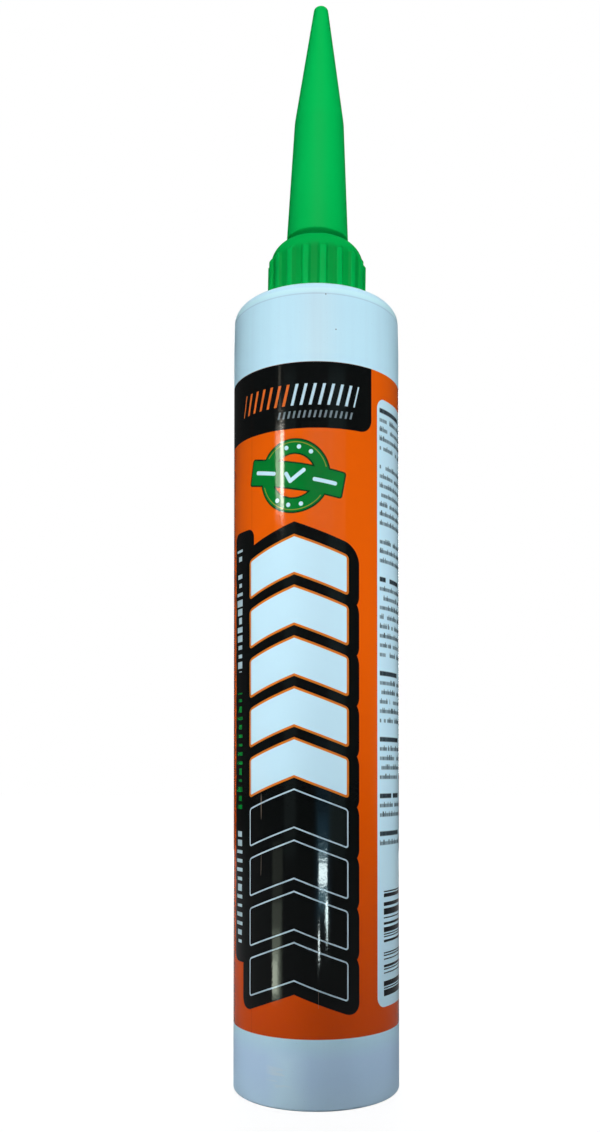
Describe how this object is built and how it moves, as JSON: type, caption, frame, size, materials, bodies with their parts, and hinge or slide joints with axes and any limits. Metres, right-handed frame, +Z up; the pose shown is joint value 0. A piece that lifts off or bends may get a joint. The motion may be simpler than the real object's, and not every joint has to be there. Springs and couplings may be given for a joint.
{
  "type": "construction adhesive cartridge",
  "caption": "Upright plastic cartridge of construction adhesive with a screw-on ribbed nozzle, a closed tapered tip and a push-up plunger inside its open foot.",
  "frame": {"origin": "centre of the tube's open foot, in the plane that it stands on", "axes": "+Z runs up along the tube, from the foot to the nozzle's tip; -Y faces the viewer in the picture and +X is to the viewer's right"},
  "size_m": [0.05, 0.05, 0.3294],
  "materials": {
    "printed_tube": "white plastic tube under a glossy orange, black and pale ink print, bare and white at the foot, the shoulder and the spigot",
    "green_nozzle": "dyed-through plastic, satin on the cone and smoother on the dome",
    "plain_plastic": "plain white plastic with a dull moulded skin",
    "paste": "off-white paste, smooth where it lies on the plastic"
  },
  "bodies": {
    "barrel": {"barrel": "printed_tube", "adhesive": "paste"},
    "nozzle": {"nozzle": "green_nozzle"},
    "plunger": {"plunger": "plain_plastic"}
  },
  "joints": [
    {"name": "nozzle_lift", "type": "slide", "parent": "barrel", "child": "nozzle", "axis": [0, 0, 1], "range_m": [0, 0.025]},
    {"name": "plunger_push", "type": "slide", "parent": "barrel", "child": "plunger", "axis": [0, 0, 1], "range_m": [0, 0.199], "deforming": ["adhesive"]}
  ]
}
